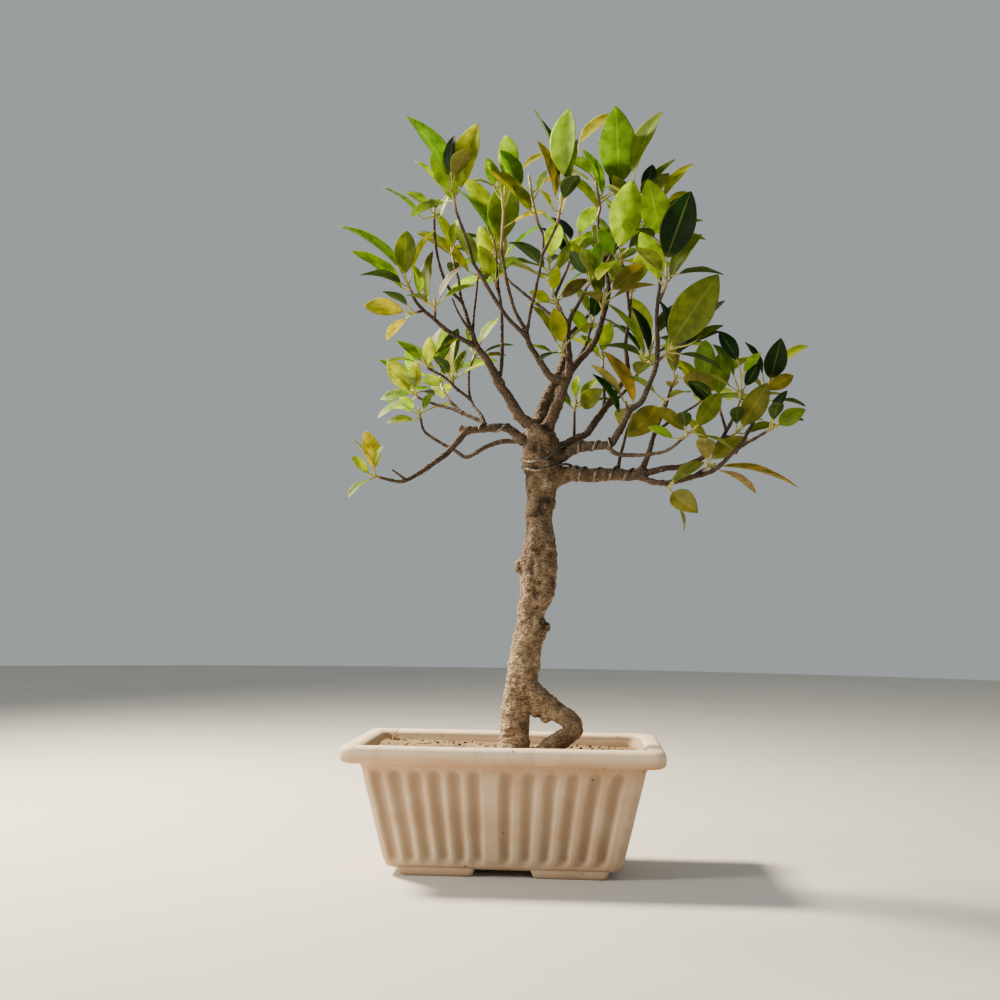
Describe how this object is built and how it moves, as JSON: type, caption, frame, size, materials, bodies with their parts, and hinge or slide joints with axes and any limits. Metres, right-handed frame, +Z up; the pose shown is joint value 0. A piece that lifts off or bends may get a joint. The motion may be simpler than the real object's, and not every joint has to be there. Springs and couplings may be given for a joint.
{
  "type": "potted bonsai tree",
  "caption": "Small-leaved fig bonsai with a prop root and wired lower branches, growing in a rectangular ribbed ceramic pot on low feet.",
  "frame": {"origin": "middle of the whole object's box, at the height of the table under the feet", "axes": "+Z up, X along the pot's long side, -Y towards the front that the tree is shown from"},
  "size_m": [0.3384, 0.2146, 0.5719],
  "materials": {
    "ceramic": "matte cream to pale terracotta, unglazed, fine dark specks",
    "soil": "dry sandy potting soil, matte and granular",
    "bark": "grey-tan fig bark with dark corky spots",
    "wire": "dull annealed aluminium training wire",
    "leaf": "waxy green leaves, light from behind shows through"
  },
  "bodies": {
    "root": {"pot": "ceramic", "shoot_centre": "leaf", "shoot_centre_front": "leaf", "shoot_centre_left": "leaf", "shoot_centre_right": "leaf", "shoot_centre_small": "leaf", "shoot_centre_spur_leaves": "leaf", "shoot_edge": "leaf", "shoot_edge_upper": "leaf", "shoot_far_left": "leaf", "shoot_fork_sprout_leaves": "leaf", "shoot_hanging": "leaf", "shoot_left_bud": "leaf", "shoot_left_inner": "leaf", "shoot_left_outer": "leaf", "shoot_left_pale": "leaf", "shoot_left_twig": "leaf", "shoot_left_upper": "leaf", "shoot_left_yellow": "leaf", "shoot_low_left_back": "leaf", "shoot_low_left_front": "leaf", "shoot_low_left_inner": "leaf", "shoot_low_left_middle": "leaf", "shoot_low_left_under": "leaf", "shoot_lower_big": "leaf", "shoot_lower_inner": "leaf", "shoot_lower_khaki": "leaf", "shoot_lower_middle": "leaf", "shoot_lower_outer": "leaf", "shoot_middle_front": "leaf", "shoot_middle_left": "leaf", "shoot_rear_far_right": "leaf", "shoot_rear_left": "leaf", "shoot_rear_low_left": "leaf", "shoot_rear_low_right": "leaf", "shoot_rear_peak": "leaf", "shoot_rear_right": "leaf", "shoot_rear_right_peak": "leaf", "shoot_rear_top": "leaf", "shoot_right_big": "leaf", "shoot_right_dark": "leaf", "shoot_right_front": "leaf", "shoot_right_inner": "leaf", "shoot_right_knee": "leaf", "shoot_right_long": "leaf", "shoot_right_low": "leaf", "shoot_right_peak": "leaf", "shoot_right_top": "leaf", "shoot_top_left": "leaf", "shoot_top_middle": "leaf", "shoot_top_middle_right": "leaf", "shoot_top_right_back": "leaf", "shoot_underside": "leaf", "soil": "soil", "tree": "bark", "wire_left_branch": "wire", "wire_lowest_branch": "wire", "wire_second_branch": "wire"}
  },
  "joints": []
}
